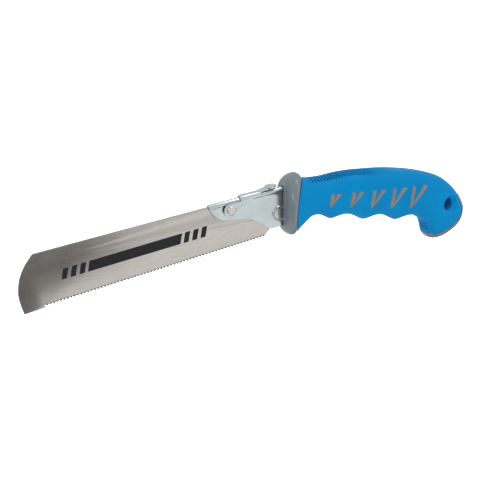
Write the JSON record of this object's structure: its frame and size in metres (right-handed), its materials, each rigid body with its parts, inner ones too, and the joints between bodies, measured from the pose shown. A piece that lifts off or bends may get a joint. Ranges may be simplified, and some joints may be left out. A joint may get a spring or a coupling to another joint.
{
  "type": "drywall saw",
  "caption": "Drywall hand saw: fine-toothed blade in a folded steel holder with a latch lever, on a soft two-colour grip with a hooked, pierced butt.",
  "frame": {"origin": "middle of the saw's box, on the blade's mid-plane", "axes": "+X along the blade's back edge from the tip to the grip, +Y across the blade, +Z from the teeth up to the back edge"},
  "size_m": [0.3182, 0.028, 0.0706],
  "materials": {
    "blade_steel": "brushed along the blade",
    "zinc_steel": "bright zinc plate",
    "rivet_steel": "spun, satin",
    "blue_rubber": "satin soft overmould",
    "grey_plastic": "fine moulded",
    "chevron_grey": "fine moulded",
    "core_plastic": "moulded, hidden inside the grip"
  },
  "bodies": {
    "handle_body": {"blade_holder": "zinc_steel", "tang_spacer": "zinc_steel", "pivot_rivet": "rivet_steel", "washer_near": "zinc_steel", "washer_far": "zinc_steel", "blade_stop_pin": "zinc_steel", "tang_pin_front": "rivet_steel", "tang_pin_rear": "rivet_steel", "grip_core_near": "core_plastic", "grip_core_far": "core_plastic", "guard_collar": "grey_plastic", "grip_overmould": "blue_rubber", "butt_trim": "grey_plastic", "chevron_inlay_near_1": "chevron_grey", "chevron_inlay_near_2": "chevron_grey", "chevron_inlay_near_3": "chevron_grey", "chevron_inlay_near_4": "chevron_grey", "chevron_inlay_near_5": "chevron_grey", "chevron_inlay_far_1": "chevron_grey", "chevron_inlay_far_2": "chevron_grey", "chevron_inlay_far_3": "chevron_grey", "chevron_inlay_far_4": "chevron_grey", "chevron_inlay_far_5": "chevron_grey"},
    "lever_body": {"latch_lever": "zinc_steel"},
    "blade_body": {"blade": "blade_steel"}
  },
  "joints": [
    {"name": "latch_hinge", "type": "hinge", "parent": "handle_body", "child": "lever_body", "pos_m": [-0.01118, 0, 0.02132], "axis": [0, -1, 0], "range_deg": [0, 90]},
    {"name": "blade_pull_out", "type": "slide", "parent": "handle_body", "child": "blade_body", "axis": [-1, 0, 0], "range_m": [0, 0.06]}
  ]
}
